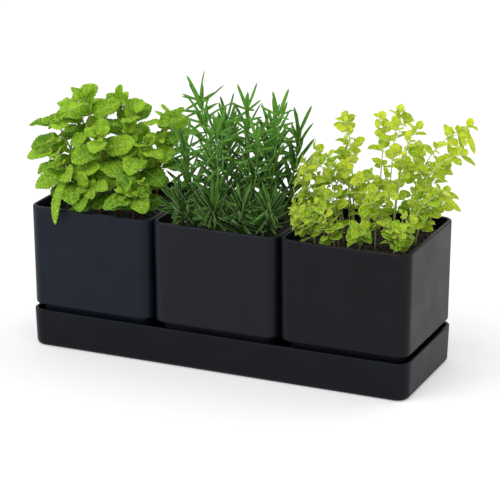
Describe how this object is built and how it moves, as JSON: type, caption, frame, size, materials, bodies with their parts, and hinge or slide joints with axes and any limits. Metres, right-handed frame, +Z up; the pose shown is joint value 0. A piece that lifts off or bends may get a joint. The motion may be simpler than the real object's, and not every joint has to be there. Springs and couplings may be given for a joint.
{
  "type": "indoor herb planter",
  "caption": "Row of square tapered pots with rounded corners, standing in one long rectangular drip tray, each planted with a different culinary herb.",
  "frame": {"origin": "centre of the tray's underside, on the surface that the planter stands on", "axes": "+X along the row of pots, from the mint to the oregano; +Y from the front to the back; +Z up"},
  "size_m": [0.4474, 0.1455, 0.2782],
  "materials": {
    "black_plastic": "satin moulded plastic",
    "potting_soil": "dark crumbly potting soil",
    "mint_leaf": "quilted fresh leaf",
    "rosemary_leaf": "waxy needle leaf",
    "oregano_leaf": "soft fresh leaf"
  },
  "bodies": {
    "tray": {"tray": "black_plastic"},
    "mint_pot": {"mint_pot": "black_plastic"},
    "mint_plant": {"mint_soil": "potting_soil", "mint_sprig_01": "mint_leaf", "mint_sprig_02": "mint_leaf", "mint_sprig_03": "mint_leaf", "mint_sprig_04": "mint_leaf", "mint_sprig_05": "mint_leaf", "mint_sprig_06": "mint_leaf", "mint_sprig_07": "mint_leaf", "mint_sprig_08": "mint_leaf", "mint_sprig_09": "mint_leaf", "mint_sprig_10": "mint_leaf", "mint_sprig_11": "mint_leaf", "mint_sprig_12": "mint_leaf", "mint_sprig_13": "mint_leaf", "mint_sprig_14": "mint_leaf"},
    "rosemary_pot": {"rosemary_pot": "black_plastic"},
    "rosemary_plant": {"rosemary_soil": "potting_soil", "rosemary_sprig_01": "rosemary_leaf", "rosemary_sprig_02": "rosemary_leaf", "rosemary_sprig_03": "rosemary_leaf", "rosemary_sprig_04": "rosemary_leaf", "rosemary_sprig_05": "rosemary_leaf", "rosemary_sprig_06": "rosemary_leaf", "rosemary_sprig_07": "rosemary_leaf", "rosemary_sprig_08": "rosemary_leaf", "rosemary_sprig_09": "rosemary_leaf", "rosemary_sprig_10": "rosemary_leaf", "rosemary_sprig_11": "rosemary_leaf", "rosemary_sprig_12": "rosemary_leaf", "rosemary_sprig_13": "rosemary_leaf"},
    "oregano_pot": {"oregano_pot": "black_plastic"},
    "oregano_plant": {"oregano_soil": "potting_soil", "oregano_sprig_01": "oregano_leaf", "oregano_sprig_02": "oregano_leaf", "oregano_sprig_03": "oregano_leaf", "oregano_sprig_04": "oregano_leaf", "oregano_sprig_05": "oregano_leaf", "oregano_sprig_06": "oregano_leaf", "oregano_sprig_07": "oregano_leaf", "oregano_sprig_08": "oregano_leaf", "oregano_sprig_09": "oregano_leaf", "oregano_sprig_10": "oregano_leaf", "oregano_sprig_11": "oregano_leaf", "oregano_sprig_12": "oregano_leaf", "oregano_sprig_13": "oregano_leaf", "oregano_sprig_14": "oregano_leaf", "oregano_sprig_15": "oregano_leaf", "oregano_sprig_16": "oregano_leaf", "oregano_sprig_17": "oregano_leaf", "oregano_sprig_18": "oregano_leaf", "oregano_sprig_19": "oregano_leaf", "oregano_sprig_20": "oregano_leaf", "oregano_sprig_21": "oregano_leaf", "oregano_sprig_22": "oregano_leaf", "oregano_sprig_23": "oregano_leaf", "oregano_sprig_24": "oregano_leaf"}
  },
  "joints": [
    {"name": "mint_pot_lift", "type": "slide", "parent": "tray", "child": "mint_pot", "axis": [0, 0, 1], "range_m": [0, 0.05]},
    {"name": "mint_plant_lift", "type": "slide", "parent": "mint_pot", "child": "mint_plant", "axis": [0, 0, 1], "range_m": [0, 0.14]},
    {"name": "rosemary_pot_lift", "type": "slide", "parent": "tray", "child": "rosemary_pot", "axis": [0, 0, 1], "range_m": [0, 0.05]},
    {"name": "rosemary_plant_lift", "type": "slide", "parent": "rosemary_pot", "child": "rosemary_plant", "axis": [0, 0, 1], "range_m": [0, 0.14]},
    {"name": "oregano_pot_lift", "type": "slide", "parent": "tray", "child": "oregano_pot", "axis": [0, 0, 1], "range_m": [0, 0.05]},
    {"name": "oregano_plant_lift", "type": "slide", "parent": "oregano_pot", "child": "oregano_plant", "axis": [0, 0, 1], "range_m": [0, 0.14]}
  ]
}
